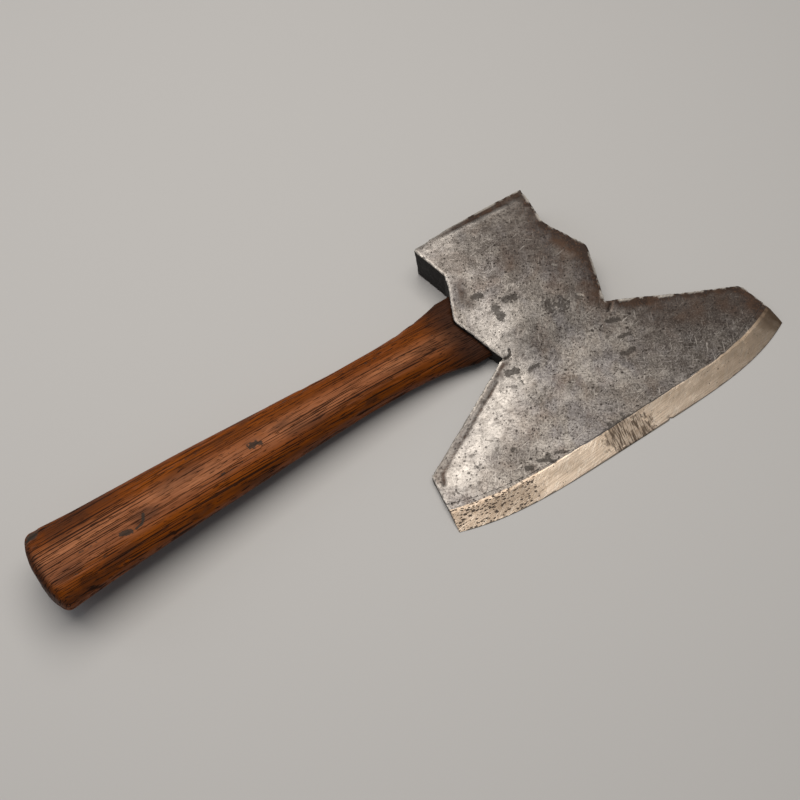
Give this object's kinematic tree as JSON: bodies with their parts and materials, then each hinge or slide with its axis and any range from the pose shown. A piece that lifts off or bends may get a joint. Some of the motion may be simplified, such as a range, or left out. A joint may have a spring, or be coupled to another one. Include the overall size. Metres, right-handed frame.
{
  "type": "broad axe",
  "caption": "Single-bevel hewing axe: a wide forged head with a flat back and pointed lugs, on a short hardwood haft held by wedges.",
  "frame": {"origin": "on the flat back, under the middle of the eye", "axes": "+X along the eye and the haft, from the butt to the head; +Y to the poll and -Y to the cutting edge; +Z out of the flat back, towards the bevelled side"},
  "size_m": [0.5601, 0.2177, 0.0475],
  "materials": {
    "forged_iron": "forged, pitted and worn, with a dark patina and rust stains",
    "tool_steel": "ground bevel with fine strokes, dulled and pitted",
    "haft_wood": "open-grained hardwood, oiled and darkened by handling",
    "wedge_wood": "sawn hardwood end grain",
    "wedge_steel": "hammered, rusted"
  },
  "bodies": {
    "root": {"axe_body": "forged_iron", "steel_bit": "tool_steel", "handle": "haft_wood", "eye_wedge": "wedge_wood", "steel_wedges": "wedge_steel"}
  },
  "joints": []
}
